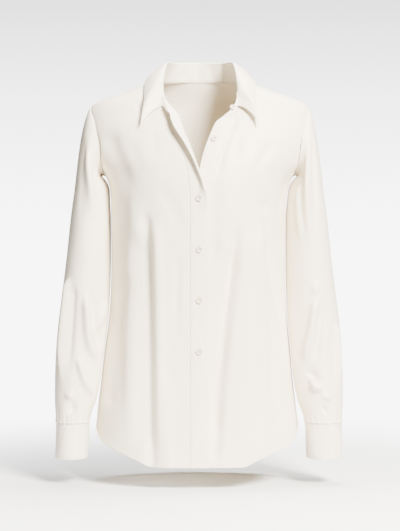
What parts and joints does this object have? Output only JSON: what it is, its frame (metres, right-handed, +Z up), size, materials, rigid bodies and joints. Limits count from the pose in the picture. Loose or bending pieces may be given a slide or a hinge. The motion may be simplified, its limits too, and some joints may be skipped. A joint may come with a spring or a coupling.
{
  "type": "button-up shirt",
  "caption": "Long-sleeved button-up shirt with a turned-down collar on a stand, open at the neck, with a curved hem and buttoned cuffs, filled out as worn.",
  "frame": {"origin": "middle of the neck, level with the top of the shoulder seams, where the wearer holds the shirt", "axes": "+Z up; the front faces -Y; +X towards the wearer's left"},
  "size_m": [0.5146, 0.2604, 0.7302],
  "materials": {
    "front_right": "satin",
    "front_left": "satin",
    "placket_right": "satin",
    "placket_left": "satin",
    "back": "satin",
    "sleeve_right": "satin",
    "sleeve_left": "satin",
    "cuff_right": "satin",
    "cuff_left": "satin",
    "sleeve_placket_right": "satin",
    "sleeve_placket_left": "satin",
    "collar_stand": "satin",
    "collar_leaf": "satin",
    "button_front_1": "gloss",
    "button_front_2": "gloss",
    "button_front_3": "gloss",
    "button_front_4": "gloss",
    "button_band": "gloss",
    "button_stand": "gloss",
    "button_cuff_right": "gloss",
    "button_cuff_left": "gloss"
  },
  "bodies": {
    "root": {"front_right": "front_right", "front_left": "front_left", "placket_right": "placket_right", "placket_left": "placket_left", "back": "back", "sleeve_right": "sleeve_right", "sleeve_left": "sleeve_left", "cuff_right": "cuff_right", "cuff_left": "cuff_left", "sleeve_placket_right": "sleeve_placket_right", "sleeve_placket_left": "sleeve_placket_left", "collar_stand": "collar_stand", "collar_leaf": "collar_leaf", "button_front_1": "button_front_1", "button_front_2": "button_front_2", "button_front_3": "button_front_3", "button_front_4": "button_front_4", "button_band": "button_band", "button_stand": "button_stand", "button_cuff_right": "button_cuff_right", "button_cuff_left": "button_cuff_left"}
  },
  "joints": []
}
